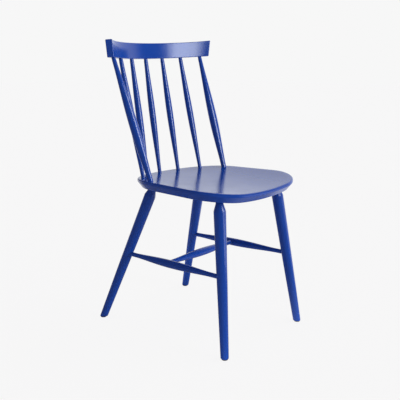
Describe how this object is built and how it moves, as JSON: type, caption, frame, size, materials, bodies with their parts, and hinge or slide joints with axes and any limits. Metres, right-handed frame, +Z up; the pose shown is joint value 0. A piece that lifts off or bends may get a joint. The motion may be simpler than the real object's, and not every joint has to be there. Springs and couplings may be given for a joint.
{
  "type": "spindle back dining chair",
  "caption": "Lacquered wooden dining chair: dished seat, splayed turned legs tied by H stretchers, and a back of swelling spindles under a bent crest rail.",
  "frame": {"origin": "on the floor, under the middle of the whole chair's bounding box", "axes": "+Z up, -Y the way the chair faces, +X the sitter's left; the chair mirrors across X = 0"},
  "size_m": [0.4526, 0.5092, 0.8639],
  "materials": {
    "blue_lacquer": "satin deep blue lacquer over turned and shaped hardwood",
    "glide_nylon": "matte moulded nylon"
  },
  "bodies": {
    "root": {"seat": "blue_lacquer", "crest_rail": "blue_lacquer", "spindle_middle": "blue_lacquer", "back_post_left": "blue_lacquer", "spindle_inner_left": "blue_lacquer", "spindle_outer_left": "blue_lacquer", "leg_front_left": "blue_lacquer", "leg_rear_left": "blue_lacquer", "side_stretcher_left": "blue_lacquer", "back_post_right": "blue_lacquer", "spindle_inner_right": "blue_lacquer", "spindle_outer_right": "blue_lacquer", "leg_front_right": "blue_lacquer", "leg_rear_right": "blue_lacquer", "side_stretcher_right": "blue_lacquer", "cross_stretcher": "blue_lacquer", "glide_front_left": "glide_nylon", "glide_front_right": "glide_nylon", "glide_rear_left": "glide_nylon", "glide_rear_right": "glide_nylon"}
  },
  "joints": []
}
